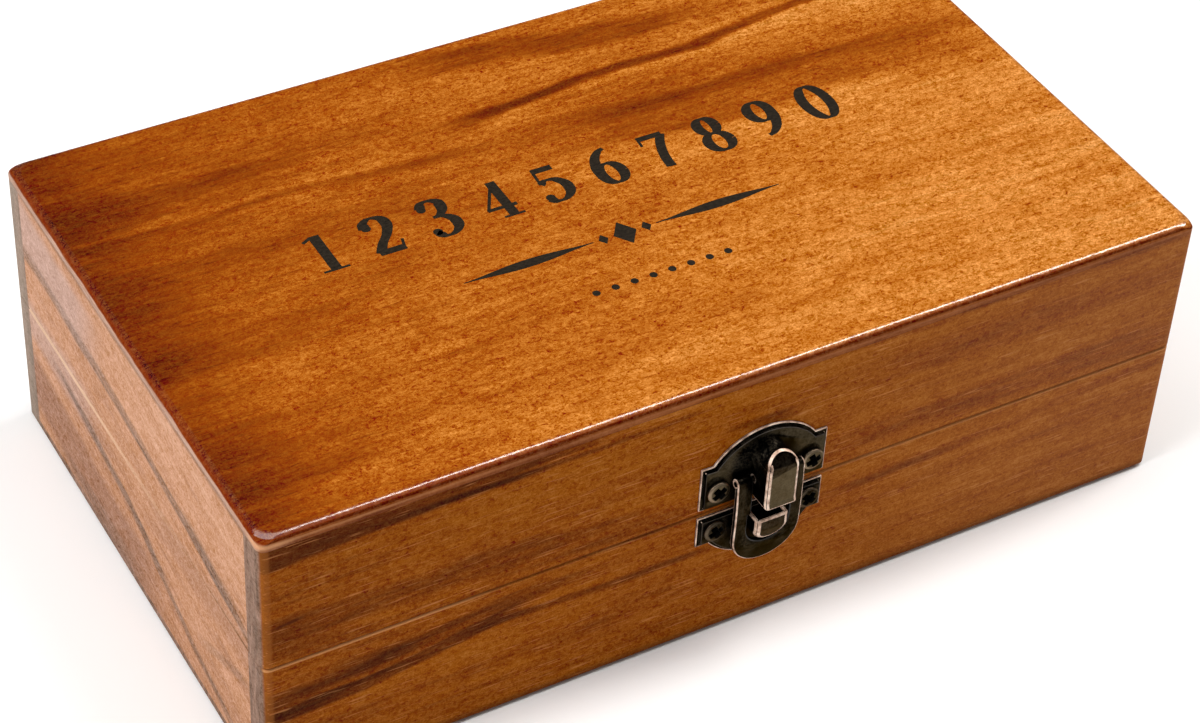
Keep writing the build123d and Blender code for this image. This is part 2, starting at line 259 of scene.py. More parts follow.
def top_colours(g):
    """The lid's stain and grain: amber with mottled figure along X, and painted shade that makes it darker to
    the left.
    """
    y_bent = g.wander(g.y, (34, 20, 20), 7)
    broad = g.noise((60, 11, 11), 3, 0.55, 0.4, (3.1, 0.4, 0))
    lines = g.noise((15, 1.1, 1.1), 4, 0.6, 0.35, (0, 5, 0))
    cloud = g.noise((9, 5, 5), 3, 0.55, 0.8, (5, 2, 0))
    pores = g.noise((3.4, 0.34, 0.34), 2, 0.5, 0.35, (7, 0, 0))
    # Painted light: the tone rises to the right, where more light fell, and drops at the left edge; along Y
    # it is a little darker towards the back.
    painted_light_and_tone = g.total((g.span(g.x, -78, -60, 0.45, 0.67), 1),
                   (g.span(g.x, -62, 52, smooth=False), 0.28),
                   (g.span(g.y, 42, -30, -0.05, 0.06), 1))
    tone = g.total((painted_light_and_tone, 0.87), (g.centred(broad), 0.36), (g.centred(lines), 0.32),
                   (g.centred(cloud), 0.17), (g.span(pores, 0.56, 0.74), -0.13))
    tone = g.banded(tone, g.x, y_bent, [
        ([(-10, 24.9), (17.5, 26.8), (32, 26.8), (47, 29), (80, 30.5)], 0.35, 1.3, 8, -0.30),
        ([(-8, 22.6), (17.5, 24.7), (32, 25), (47, 27.2), (80, 28.6)], 0.2, 1.1, 8, 0.07),
        ([(2, 14.5), (32, 12.6), (53, 12.5), (80, 11.8)], 3.4, 2.6, 14, -0.21),
        ([(8, 19.5), (40, 19), (80, 21)], 1.5, 5, 16, -0.13),
        ([(-9, 41), (14, 37.5), (34, 35.5)], 1.6, 2.6, 9, -0.19),
        ([(-84, 22.6), (-47, 21.2), (-12, 20)], 0.1, 0.9, 6, 0.05),
        ([(-84, 21.5), (-47, 20), (-12, 18.8)], 0.2, 1.3, 6, -0.12),
        ([(-84, 27), (-60, 27), (-38, 25)], 2, 5, 9, -0.10),
        ([(-84, -8), (-62, -7), (-44, -9)], 1.6, 3.4, 8, -0.07),
        ([(-84, -32), (-66, -33), (-52, -31)], 3, 6, 9, -0.14),
        ([(18, 33), (52, 34.5)], 2, 4, 11, -0.07),
        ([(55, 5.2), (80, 5)], 0.5, 2, 6, -0.10),
    ])
    colour = g.ramp(tone, shades(
        ON_TOP,
        (0, 66, 22, 2), (0.22, 98, 36, 2), (0.38, 130, 52, 3), (0.52, 161, 75, 5),
        (0.65, 187, 98, 16), (0.77, 211, 123, 36), (0.88, 230, 146, 62), (1, 246, 174, 98),
    ))
    # The flecks are the grain's, but their blue share, which grows with the tone, also paints the neutral
    # glints of the lit varnish.
    strength = g.span(tone, 0.5, 0.95, 0.26, 1.9, smooth=False)
    blue = g.span(tone, 0.55, 0.9, 0.25, 1.3, smooth=False)
    amount = g.math("MULTIPLY", flecks(g, ALONG_X), strength)
    return g.tinted(colour, amount, (0.050, 0.026, 0.0085), blue), pores


def top_wood():
    """Glossy amber varnish on the lid's top."""
    g = Graph("top_wood")
    colour, pores = top_colours(g)
    ripple = g.noise((2.4, 1.1, 1.1), 2, 0.6, 0.5)
    grit = g.noise((0.6, 0.4, 0.4), 2, 0.6, 0.5)
    normal = g.bump(g.total((ripple, 1), (grit, 0.6), (pores, -0.3)), 0.5, 0.00006)
    return g.surface(colour, 0.5, normal, specular=0.03, coat=0.25, coat_roughness=0.2)


def lid_edge(name, coat, coat_ior, bumpiness):
    """The rounded and upright edges of the lid's panel: dark stain and painted shade above; board colours
    below, painted paler on the left and right like the side boards.
    """
    g = Graph(name)
    colour, _ = top_colours(g)
    to_left = g.span(g.math("MULTIPLY", g.face_x, -1), 0.55, 0.8)
    to_right = g.span(g.face_x, 0.55, 0.8)
    # The round-over darkens as it tilts: a darker stain, and partly painted shade for the dark it mirrors;
    # its steep front part gets a darker painted shade.
    colour = g.over(colour, srgb(106, 40, 4, ON_EDGE), g.span(g.face_z, 0.97, 0.72), 0.86)
    painted_shade_under_front = g.both(g.span(g.face_z, 0.74, 0.62), g.span(g.face_y, -0.4, -0.6))
    colour = g.over(colour, srgb(66, 22, 4, ON_EDGE), painted_shade_under_front, 0.8)
    grain = g.noise((14, 9, 0.8), 4, 0.6, 0.3)
    brown = g.ramp(grain, shades(ON_FRONT, (0.3, 92, 40, 12), (0.7, 140, 80, 38)))
    colour = g.mix(g.span(g.face_z, 0.5, 0.3), colour, brown)
    worn_height = g.wander(g.z, (9, 7, 2), 0.7)
    # The panel's left and right sides take the side boards' pale colours, painted paler partly for the
    # stronger light and whitish sheen on the sides.
    bare = g.ramp(grain, shades(ON_LEFT, (0.3, 178, 132, 108), (0.7, 222, 182, 160)))
    rubbed = g.both(g.math("MAXIMUM", to_left, to_right), g.span(worn_height, 49.25, 48.95))
    colour = g.mix(rubbed, colour, bare)
    front_arris = g.both(g.span(g.face_y, -0.5, -0.9), g.span(g.z, 48.35, 48.75),
                         g.span(g.z, 49.05, 48.85), g.span(g.x, -76, -30, 0.5, 0.22))
    colour = g.mix(front_arris, colour, srgb(178, 124, 84, ON_FRONT))
    corner = g.both(g.patch(g.x, g.y, (-77.5, -45.5), (4.6, 3.2), 0.5), g.span(worn_height, 49.3, 48.9),
                    g.span(g.z, 48.25, 48.65, 0.25, 0.7))
    colour = g.mix(corner, colour, srgb(198, 144, 104, ON_CORNER))
    joint = g.span(g.off(g.z, JOINT), 0.16, 0.02)
    colour = g.over(colour, srgb(74, 40, 22), joint, 0.55)
    colour = g.tinted(colour, flecks(g, ALONG_X), (0.012, 0.006, 0.003))
    colour = raw_inside(g, colour, ALONG_X)
    grit = g.noise((0.9, 0.4, 0.4), 3, 0.6, 0.5)
    wave = g.noise((5, 5, 1), 3, 0.6, 0.5)
    normal = g.bump(g.total((grit, 0.8), (wave, 1.2)), bumpiness, 0.00009)
    return g.surface(colour, 0.5, normal, specular=0.02, coat=coat, coat_roughness=0.11, coat_ior=coat_ior)


def front_wood():
    """Satin brown stain, grain along X; the ends of the boards show end grain."""
    g = Graph("front_wood")
    z_bent = g.wander(g.z, (46, 14, 11), 3.6)
    broad = g.noise((70, 9, 5), 3, 0.55, 0.35, (1.7, 2, 0))
    lines = g.noise((17, 0.8, 0.75), 4, 0.62, 0.3)
    cloud = g.noise((8, 3, 2.4), 3, 0.55, 0.6, (6, 1, 3))
    scratches = g.noise((6, 0.34, 0.26), 2, 0.4, 0.2, (4, 9, 0))
    tone = g.total((g.centred(broad), 0.50), (g.centred(lines), 0.46), (g.centred(cloud), 0.26),
                   (g.span(g.x, -76, -48, -0.12, -0.02), 1), (g.span(g.x, -60, 70), 0.05))
    tone = g.banded(g.math("ADD", tone, 0.60), g.x, z_bent, [
        ([(-84, 46.2), (-52, 46.9), (-36, 47.4)], 1.7, 0.8, 7, -0.34),
        ([(-40, 47.3), (-24, 47.7)], 0.3, 0.7, 6, -0.26),
        ([(-52, 45.4), (-30, 46), (-6, 46.6)], 0.15, 0.6, 6, -0.22),
        ([(-5, 49), (30, 48), (80, 48.2)], 0.8, 1, 9, -0.20),
        ([(-4, 40.6), (7, 39.6)], 0.5, 1.2, 4, -0.22),
        ([(29, 41.6), (76, 40.4)], 1.6, 2, 12, -0.10),
        ([(-82, 32.2), (-45, 31.4), (-12, 27)], 1.3, 3.4, 9, -0.19),
        ([(-80, 27.6), (-58, 26.8)], 0.5, 1.2, 6, -0.12),
        ([(15, 31), (45, 30.2), (84, 27.4)], 1.2, 2.6, 9, -0.15),
        ([(-84, 14.6), (-62, 15.4), (-48, 18), (-38, 19.4)], 0.9, 0.9, 6, -0.36),
        ([(-84, 17.4), (-70, 17.6), (-54, 19.6)], 2, 1.7, 6, -0.20),
        ([(-84, 17), (-60, 19.2), (-30, 21.6)], 0.3, 1.3, 8, -0.20),
        ([(-62, 20.2), (-34, 22.8)], 0.2, 0.7, 6, -0.20),
        ([(-42, 18.4), (-6, 18)], 0.25, 0.9, 7, -0.24),
        ([(13, 20.2), (45, 21), (84, 23.2)], 0.35, 1.2, 8, -0.20),
        ([(-70, 9.5), (-20, 11.5), (30, 12.6)], 0.5, 2, 14, -0.08),
    ])
    colour = g.ramp(tone, shades(
        ON_FRONT,
        (0, 64, 26, 4), (0.18, 86, 38, 6), (0.36, 110, 53, 5), (0.52, 130, 66, 4),
        (0.66, 143, 79, 11), (0.84, 162, 98, 38), (1, 184, 124, 66),
    ))
    strength = g.span(tone, 0.1, 0.6, 0.3, 1)
    colour = g.tinted(colour, g.math("MULTIPLY", flecks(g, ALONG_X), strength), (0.029, 0.0152, 0.0042))
    corner = g.span(g.off(g.x), 75.7, 76.3)
    colour = g.over(colour, srgb(142, 84, 34, ON_FRONT), corner, 0.5)
    colour = g.mix(g.span(scratches, 0.61, 0.73, 0, 0.42), colour, srgb(190, 128, 74, ON_FRONT))
    # Painted reflection: a pale sheen that grows towards the right end.
    colour = g.mix(g.span(g.x, -10, 78, 0, 0.16), colour, srgb(156, 112, 88, ON_FRONT))
    dash = g.band(g.x, g.z, [(-75.5, 33.1), (-71.5, 33.5)], 0.12, 0.35, 1)
    colour = g.over(colour, srgb(62, 24, 8, ON_FRONT), dash, 0.75)
    # Painted shade: darker along the bottom edge, where it rounds under.
    colour = g.mix(g.span(g.z, 2.6, 0.7, 0, 0.6), colour, srgb(76, 36, 14, ON_FRONT))
    # Painted highlight: the base's top arris at the split is lighter, more in some stretches along X than
    # others.
    arris = g.both(g.span(g.z, SPLIT - 0.5, SPLIT - 0.2), g.span(g.z, SPLIT + 0.12, SPLIT))
    unevenness = g.math("ADD", g.span(g.x, -52, -38, 0.85, 0.1), g.span(g.x, -16, 30, 0, 0.3))
    colour = g.mix(g.both(arris, unevenness), colour, srgb(196, 138, 88, ON_FRONT))
    # Painted shade on the lid's lower edge, just above the split.
    above = g.both(g.span(g.z, SPLIT + 0.05, SPLIT + 0.2), g.span(g.z, SPLIT + 0.65, SPLIT + 0.3))
    colour = g.over(colour, srgb(92, 46, 16, ON_FRONT), above, 0.5)
    rings = g.noise((9, 1.1, 6), 3, 0.6, 0.8)
    end_grain = g.ramp(rings, shades(
        ON_LEFT, (0.35, 122, 96, 80), (0.55, 152, 120, 102), (0.7, 178, 142, 124)))
    end_grain = g.mix(g.span(g.y, 38, 44, 0, 0.7), end_grain, srgb(168, 152, 136, ON_LEFT))
    end_grain = g.tinted(end_grain, flecks(g, ALONG_Y), (0.018, 0.014, 0.012))
    colour = g.mix(g.span(g.off(g.x), 77.05, 77.4), colour, end_grain)
    colour = raw_inside(g, colour, ALONG_X)
    height = g.total((scratches, 0.6), (lines, 1.2))
    normal = g.bump(height, 0.4, 0.00006)
    return g.surface(colour, 0.55, normal, specular=0.02)


def side_wood():
    """Matte wood, painted paler than the front partly to stand in for the stronger light and whitish sheen on
    the sides; grain along Y, with grey-brown streaks that fall towards the front.
    """
    g = Graph("side_wood")
    z_bent = g.wander(g.z, (10, 24, 9), 3)
    slanted = g.joined(g.x, g.y, g.math("MULTIPLY_ADD", g.y, -0.14, g.z))
    broad = g.noise((20, 60, 4.6), 3, 0.55, 0.4, (0, 1.2, 3), slanted)
    lines = g.noise((3, 16, 0.75), 4, 0.62, 0.3, point=slanted)
    cloud = g.noise((3, 6, 2), 3, 0.55, 0.6, (6, 1, 3), slanted)
    tone = g.total((g.centred(broad), 0.55), (g.centred(lines), 0.50), (g.centred(cloud), 0.35),
                   (g.span(g.z, 6, 40), 0.10))
    colour = g.ramp(g.math("ADD", tone, 0.52), shades(
        ON_LEFT,
        (0.15, 142, 96, 68), (0.38, 176, 122, 88), (0.55, 203, 146, 108),
        (0.72, 216, 160, 124), (0.9, 228, 180, 150),
    ))
    grey = srgb(124, 97, 82, ON_LEFT)
    pink = srgb(200, 164, 150, ON_LEFT)
    brown = srgb(158, 112, 90, ON_LEFT)
    zones = [
        ([(14, 39.5), (46, 42.5)], 3.4, 3, 7, pink, 0.75),
        ([(16, 22.5), (46, 24)], 2.4, 3, 7, pink, 0.6),
        ([(-6, 6), (16, 7), (46, 12)], 4.4, 3, 7, brown, 0.62),
        ([(-46, 24.5), (-30, 24), (-8, 22.5)], 1.6, 2.6, 6, brown, 0.35),
    ]
    for path, half_width, feather, fade, stain, strength in zones:
        mask = g.band(g.y, z_bent, path, half_width, feather, fade)
        colour = g.over(colour, stain, mask, strength)
    upper_streak = [(-46, 26.6), (-38, 28.6), (-14.6, 32.6), (-4, 34.4), (8, 35.3), (27, 36.2),
                    (46, 36.6)]
    streaks = [
        (upper_streak, 0.75, 1, 4, 0.80),
        ([(-38, 29.5), (-30, 30.4), (-20, 32.4)], 0.9, 1.2, 4, 0.70),
        ([(-36, 3), (-20, 7.4), (2.7, 16.9), (18, 20.4), (30, 21.8)], 0.6, 0.9, 5, 0.78),
        ([(-10, 12), (6, 17.6), (18, 20.2)], 0.8, 1.1, 5, 0.5),
        ([(-45, 18.4), (-38, 17.6), (-24, 11.6)], 0.5, 1, 4, 0.42),
        ([(2, 3.4), (14, 4), (30, 2)], 1.6, 1.6, 6, 0.55),
    ]
    for path, half_width, feather, fade, strength in streaks:
        mask = g.band(g.y, z_bent, path, half_width, feather, fade)
        mark_mask = g.math("MULTIPLY", mask, g.span(lines, 0.32, 0.6, strength, strength * 0.6))
        colour = g.mix(mark_mask, colour, grey)
    colour = g.tinted(colour, flecks(g, ALONG_Y), (0.036, 0.028, 0.026))
    # Painted shade: darker along the bottom edge, where it rounds under.
    colour = g.mix(g.span(g.z, 2.2, 0.8, 0, 0.5), colour, srgb(110, 84, 66, ON_LEFT))
    # Painted highlight: the base's top arris at the split is lighter, more towards the back.
    arris = g.both(g.span(g.z, SPLIT - 0.75, SPLIT - 0.3), g.span(g.z, SPLIT + 0.7, SPLIT + 0.2))
    mark_mask = g.both(arris, g.span(g.y, -24, 22, 0.1, 0.75))
    colour = g.mix(mark_mask, colour, srgb(244, 206, 172, ON_LEFT))
    groove = g.both(g.span(g.off(g.z, SPLIT), 0.4, 0.1), g.span(g.y, -18, -40))
    colour = g.over(colour, srgb(92, 56, 34), groove, 0.6)
    joint = g.span(g.off(g.z, JOINT - 0.25), 0.5, 0.1)
    colour = g.over(colour, srgb(120, 86, 66, ON_LEFT), joint, 0.45)
    colour = raw_inside(g, colour, ALONG_Y)
    normal = g.bump(g.total((lines, 1), (cloud, 0.4)), 0.4, 0.00006)
    return g.surface(colour, 0.65, normal, specular=0.12)


# Shapes from the frame

WELD_DISTANCE = 0.002 * MM


def solids_of(node_name):
    """The box of each separate solid of a node, in their order along X."""
    work = bmesh.new()
    work.from_mesh(nodes[node_name].data)
    bmesh.ops.remove_doubles(work, verts=work.verts, dist=WELD_DISTANCE)
    seen, found = set(), []
    for vert in work.verts:
        if vert in seen:
            continue
        stack, island = [vert], []
        seen.add(vert)
        while stack:
            here = stack.pop()
            island.append(here.co.copy())
            for edge in here.link_edges:
                other = edge.other_vert(here)
                if other not in seen:
                    seen.add(other)
                    stack.append(other)
        low = Vector([min(p[i] for p in island) for i in range(3)])
        high = Vector([max(p[i] for p in island) for i in range(3)])
        found.append((low, high))
    work.free()
    return sorted(found, key=lambda box: (box[0].x, box[0].z))


# Metal

LATCH_X, FRONT_Y = 2.1, -45.5
NEAR_BLACK = srgb(11, 9, 7)
DARK_EDGE = (0.6, 0.55, 0.48)


def patina(g, colour):
    """Fine grit and soft clouds over a metal's colour."""
    cloud = g.noise((2.2, 2.2, 2.2), 4, 0.6, 0.4)
    grit = g.noise((0.3, 0.3, 0.3), 3, 0.65)
    amount = g.total((g.centred(cloud), 3), (g.centred(grit), 3.2))
    return g.tinted(colour, amount, (0.022, 0.018, 0.012)), grit


def finished_metal(g, colour, roughness):
    """Metal with patina and a fine grit that is felt as well as seen."""
    colour, grit = patina(g, colour)
    return g.surface(colour, roughness, g.bump(grit, 0.3, 0.00003), metallic=1, edge=DARK_EDGE)


def stand_off(g):
    """How far a point is off the front: 0.4 mm on a plate's rim, 0.9 on its field, 5.7 on the hood's face."""
    return g.math("SUBTRACT", FRONT_Y, g.y)


def paint_screw_shadows(g, colour, node_name):
    """A painted black shadow in a crescent round each screw's upper left side."""
    for low, high in solids_of(node_name):
        middle = (low + high) / 2 / MM
        crescent = g.patch(g.x, g.z, (middle.x - 0.75, middle.z + 0.75), (2.3, 2.3), 0.08)
        colour = g.over(colour, NEAR_BLACK, crescent, 0.92)
    return colour


def facing_front(g, low=0.8, high=0.96):
    """A mask of what faces the front squarely; the plates and flap paint what lies outside it near-black, as
    a painted dark reflection.
    """
    return g.span(g.math("MULTIPLY", g.face_y, -1), low, high)


def upper_plate_metal():
    """Antique bronze: brown-grey where it faces the front; near-black elsewhere as a painted dark reflection,
    with painted shadow and shade round the hood.
    """
    g = Graph("upper_plate_bronze")
    off = stand_off(g)
    u = g.math("SUBTRACT", g.x, LATCH_X)
    v = g.math("SUBTRACT", g.z, SPLIT)
    field = srgb(60, 52, 38, ON_METAL)
    hood_face = srgb(89, 77, 57, ON_METAL)
    colour = g.mix(g.span(off, 0.6, 0.8), srgb(20, 17, 12, ON_METAL), field)
    lower_left = g.span(g.math("ADD", u, v), 6, -6)
    colour = g.over(colour, srgb(92, 80, 60, ON_METAL), lower_left, 0.2)
    # Painted shadow: near-black on the plate's field round the hood, mostly to its left.
    dark = g.patch(u, v, (-0.9, 7.9), (5, 4.9), 0.16)
    shade = g.both(dark, g.span(off, 1.2, 1), g.span(u, 3.6, 2.4))
    colour = g.mix(shade, colour, NEAR_BLACK)
    colour = paint_screw_shadows(g, colour, "latch_upper_screws")
    # Painted dark reflection: near-black on the hood's walls, below its face.
    colour = g.mix(g.span(off, 1.1, 1.4), colour, NEAR_BLACK)
    colour = g.mix(g.span(off, 5.2, 5.5), colour, hood_face)
    # Painted dark reflection: what doesn't face the front goes near-black.
    colour = g.mix(facing_front(g), NEAR_BLACK, colour)
    # Painted shade on the hood's upward-sloping shoulder.
    crease = g.math("MULTIPLY_ADD", u, -0.26, v)
    shoulder_shade = g.both(g.span(off, 4.2, 4.5), g.span(crease, 8.9, 9.2))
    colour = g.over(colour, srgb(34, 26, 19, ON_METAL), shoulder_shade, 0.8)
    return finished_metal(g, colour, 0.36)


def lower_plate_metal():
    """The lower plate: painted darker than the upper one as a painted dark reflection, with the flap's
    painted shade and a rubbed nose.
    """
    g = Graph("lower_plate_bronze")
    off = stand_off(g)
    u = g.math("SUBTRACT", g.x, LATCH_X)
    # Painted dark reflection: the lower plate's colours are darker than the upper's, for the shadowed floor
    # it mirrors.
    colour = g.mix(g.span(off, 0.6, 0.8), srgb(18, 15, 11, ON_METAL), srgb(36, 30, 22, ON_METAL))
    # Painted shade under the flap, round the nose.
    under_flap_shade = g.span(g.off(u), 6.4, 5.4)
    colour = g.mix(under_flap_shade, colour, srgb(12, 10, 8, ON_METAL))
    colour = paint_screw_shadows(g, colour, "latch_lower_screws")
    colour = g.mix(g.span(off, 1.1, 1.6), colour, srgb(54, 45, 34, ON_METAL))
    # Painted dark reflection: what doesn't face the front goes near-black.
    colour = g.mix(facing_front(g, 0.55, 0.9), NEAR_BLACK, colour)
    return finished_metal(g, colour, 0.36)


def flap_metal():
    """The flap: dark arms, painted darker towards the ring's foot as a painted dark reflection, with the
    hood's painted shadow on the arms.
    """
    g = Graph("flap_bronze")
    u = g.math("SUBTRACT", g.x, LATCH_X)
    v = g.math("SUBTRACT", g.z, SPLIT)
    # Painted dark reflection: darker towards the ring's foot.
    colour = g.mix(g.span(v, 3, -9), srgb(42, 35, 25, ON_METAL), srgb(28, 24, 19, ON_METAL))
    # Painted shadow of the hood on the arms' inner upper parts.
    inner = g.both(g.span(u, -4.6, -4), g.span(v, 1.4, 2.2), g.span(u, 4.6, 4))
    colour = g.over(colour, NEAR_BLACK, inner, 0.9)
    # Painted dark reflection: what doesn't face the front goes near-black.
    colour = g.mix(facing_front(g), NEAR_BLACK, colour)
    return finished_metal(g, colour, 0.36)


def rubbed_metal(name, outward_only=False):
    """Edges where handling has rubbed the patina off: bright outside, dull in the plates' steps; on the flap,
    edges facing in or up at the ring's foot are painted near-black as shade.
    """
    g = Graph(name)
    off = stand_off(g)
    unevenness = g.noise((1.3, 1.3, 1.3), 3, 0.6)
    bright = g.ramp(unevenness, shades(1, (0.30, 104, 82, 68), (0.47, 194, 160, 138), (0.64, 238, 214, 194)))
    dull = g.ramp(unevenness, shades(1, (0.35, 22, 18, 13), (0.6, 58, 48, 36)))
    step = g.both(g.span(off, 0.56, 0.64), g.span(off, 1.2, 1))
    colour = g.mix(step, bright, dull)
    if outward_only:
        # Painted shade: the flap's edges that face in towards the latch's middle, and those facing up low on
        # the ring, go near-black.
        u = g.math("SUBTRACT", g.x, LATCH_X)
        below = g.math("MINIMUM", g.math("ADD", g.math("SUBTRACT", g.z, SPLIT), 5), 0)
        along = g.total((u, g.face_x), (below, g.face_z))
        colour = g.mix(g.span(along, 1, 0.2), colour, NEAR_BLACK)
    return g.surface(colour, 0.42, metallic=0.2, specular=0.4)


def screw_bronze():
    """Screw heads, browner and a little brighter than the plates, with painted highlights on their rims."""
    g = Graph("screw_bronze")
    # Painted dark reflection: the lower screws are darker, like the lower plate.
    lower = g.span(g.z, SPLIT + 0.4, SPLIT - 0.4)
    colour = g.mix(lower, srgb(84, 73, 55, ON_METAL), srgb(42, 35, 25, ON_METAL))
    # Painted highlight: a bright rim on each head, widest at its lower left, weaker on the lower screws.
    for node_name, brightness in (("latch_upper_screws", 0.6), ("latch_lower_screws", 0.22)):
        for low, high in solids_of(node_name):
            x, _, z = (low + high) / 2 / MM
            disc_area = g.patch(g.x, g.z, (x, z), (1.95, 1.95), 0.03)
            inner = g.patch(g.x, g.z, (x + 0.12, z + 0.12), (1.5, 1.5), 0.08)
            rim = g.both(disc_area, g.math("SUBTRACT", 1, inner))
            colour = g.over(colour, srgb(176, 154, 130, ON_METAL), rim, brightness)
    return finished_metal(g, colour, 0.34)


def hinge_bronze():
    """Plain antique bronze for the rear hinges."""
    g = Graph("hinge_bronze")
    return finished_metal(g, srgb(92, 80, 60), 0.36)


def pit_black():
    """Near-black for the screws' cross recesses."""
    g = Graph("recess_black")
    colour = g.ramp(g.noise((0.5, 0.5, 0.5)), shades(1, (0.3, 5, 4, 4), (0.7, 12, 10, 8)))
    return g.surface(colour, 0.7, specular=0.05)


def ink():
    """Charcoal printing ink, a little uneven."""
    g = Graph("print_ink")
    speck = g.noise((0.7, 0.4, 0.4), 3, 0.6)
    colour = g.ramp(speck, shades(ON_TOP, (0.3, 28, 22, 15), (0.7, 54, 45, 34)))
    return g.surface(colour, 0.6, specular=0.1)


wood_top, wood_front, wood_side = top_wood(), front_wood(), side_wood()
wood_round_edge = lid_edge("lid_round_edge", coat=1, coat_ior=1.8, bumpiness=0.4)
wood_upright_edge = lid_edge("lid_upright_edge", coat=0, coat_ior=1.5, bumpiness=0.3)
upper_metal, lower_metal, arm_metal = upper_plate_metal(), lower_plate_metal(), flap_metal()
edge_metal = rubbed_metal("rubbed_edge")
arm_edge_metal = rubbed_metal("rubbed_flap_edge", outward_only=True)
screw_metal, hinge_metal, recess_black, ink_film = screw_bronze(), hinge_bronze(), pit_black(), ink()


def paint(obj, *materials):
    """Fills the material slots in order, and leaves each face's own slot as it is."""
    slots = obj.data.materials
    for index, material in enumerate(materials):
        if index < len(slots):
            slots[index] = material
        else:
            slots.append(material)


for name, node in nodes.items():
    if name in ("base_left_board", "base_right_board", "lid_left_board", "lid_right_board"):
        paint(node, wood_side)
    elif name.endswith("board") or name.endswith("panel"):
        paint(node, wood_front)
    elif name.startswith("hinge"):
        paint(node, hinge_metal)
    else:
        paint(node, lower_metal)


def new_object(name, data):
    obj = bpy.data.objects.new(name, data)
    scene.collection.objects.link(obj)
    return obj


def mesh_from(work, name):
    mesh = bpy.data.meshes.new(name)
    work.to_mesh(mesh)
    work.free()
    return mesh


def add_piece(name, mesh, body, *materials):
    """A new object that rides on a body."""
    obj = new_object(name, mesh)
    paint(obj, *materials)
    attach(obj, body)
    return obj


# The lid's panel, with its corners sanded rounder towards the top

EDGE_RADIUS = 1.2
CORNER_RADIUS = 1.3
CORNER_SANDING = 2.7
CORNER_STEPS, EDGE_RINGS = 14, 12
LAST_UPRIGHT_RING = 6
TOP_FACE, ROUND_FACE, UPRIGHT_FACE = 0, 1, 2


def rounded_outline(half_x, half_y, radius):
    """Corner points of a rounded rectangle, anticlockwise from the right end of the front edge."""
    points = []
    for quarter, (sx, sy) in enumerate(((1, -1), (1, 1), (-1, 1), (-1, -1))):
        for step in range(CORNER_STEPS + 1):
            angle = math.pi / 2 * (quarter - 1 + step / CORNER_STEPS)
            points.append((sx * (half_x - radius) + radius * math.cos(angle),
                           sy * (half_y - radius) + radius * math.sin(angle)))
    return points


def lid_panel():
    """The panel as rings from its underside up over the round edge to its flat top."""
    low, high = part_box("lid_top_panel")
    half_x, half_y = high.x / MM, high.y / MM
    side_top = high.z / MM - EDGE_RADIUS
    levels = [(low.z / MM, 0.0, CORNER_RADIUS)]
    for ring in range(EDGE_RINGS + 1):
        angle = math.pi / 2 * ring / EDGE_RINGS
        inset = EDGE_RADIUS * (1 - math.cos(angle))
        sanding = CORNER_SANDING * math.sin(angle) ** 1.5
        levels.append((side_top + EDGE_RADIUS * math.sin(angle), inset, CORNER_RADIUS - inset + sanding))
    work = bmesh.new()
    rings = []
    for height, inset, radius in levels:
        outline = rounded_outline(half_x - inset, half_y - inset, radius)
        rings.append([work.verts.new((x * MM, y * MM, height * MM)) for x, y in outline])
    count = len(rings[0])
    for level, (below, above) in enumerate(zip(rings, rings[1:])):
        for i in range(count):
            j = (i + 1) % count
            face = work.faces.new((below[i], below[j], above[j], above[i]))
            face.smooth = True
            face.material_index = ROUND_FACE if level > LAST_UPRIGHT_RING else UPRIGHT_FACE
    underside = work.faces.new(rings[0][::-1])
    underside.material_index = UPRIGHT_FACE
    top = work.faces.new(rings[-1])
    top.material_index = TOP_FACE
    mesh = mesh_from(work, "lid_panel_piece")
    piece = add_piece("lid_panel_piece", mesh, "lid", wood_top, wood_round_edge, wood_upright_edge)
    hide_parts("lid_top_panel")


lid_panel()


# Latch pieces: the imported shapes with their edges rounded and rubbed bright

WIDEST_EDGE = 0.45
BEVEL_STEPS = 3
FLATTEST_EDGE, SHARPEST_FLAT = math.radians(30), math.radians(0.6)

# The stand-off that each width of a rounded edge reaches up to: a plate's rim, its field, then what is raised
UPPER_WIDTHS = ((0.6, 0.16), (1.2, 0.1), (math.inf, 0.26))
LOWER_WIDTHS = ((0.6, 0.14), (1.4, 0.1), (math.inf, 0.32))
FLAP_WIDTHS = ((math.inf, 0.19),)


def rounded_copy(node_name, piece_name, body, material, edge, widths):
    """A copy of a node whose sharp outer edges are rounded, each as wide as its stand-off says."""
    mesh = nodes[node_name].data.copy()
    work = bmesh.new()
    work.from_mesh(mesh)
    bmesh.ops.remove_doubles(work, verts=work.verts, dist=WELD_DISTANCE)
    bmesh.ops.dissolve_limit(work, angle_limit=SHARPEST_FLAT, verts=work.verts, edges=work.edges)
    weight = work.edges.layers.float.new("bevel_weight_edge")
    for line in work.edges:
        if len(line.link_faces) == 2 and line.is_convex and line.calc_face_angle(0.0) > FLATTEST_EDGE:
            off = FRONT_Y - (line.verts[0].co + line.verts[1].co).y / 2 / MM
            line[weight] = next(width for limit, width in widths if off < limit) / WIDEST_EDGE
    for face in work.faces:
        face.smooth = True
        face.material_index = 0
    work.to_mesh(mesh)
    work.free()
    mesh.name = piece_name
    piece = add_piece(piece_name, mesh, body, material, edge)
    bevel = piece.modifiers.new("rounded edges", "BEVEL")
    bevel.width = WIDEST_EDGE * MM
    bevel.segments = BEVEL_STEPS
    bevel.limit_method = "WEIGHT"
    bevel.material = 1
    bevel.harden_normals = True
    bevel.use_clamp_overlap = False
    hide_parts(node_name)


rounded_copy("latch_upper_plate", "upper_plate_piece", "lid", upper_metal, edge_metal, UPPER_WIDTHS)
rounded_copy("latch_lower_plate", "lower_plate_piece", "base", lower_metal, edge_metal, LOWER_WIDTHS)
rounded_copy("latch_flap", "flap_piece", "latch_flap", arm_metal, arm_edge_metal, FLAP_WIDTHS)


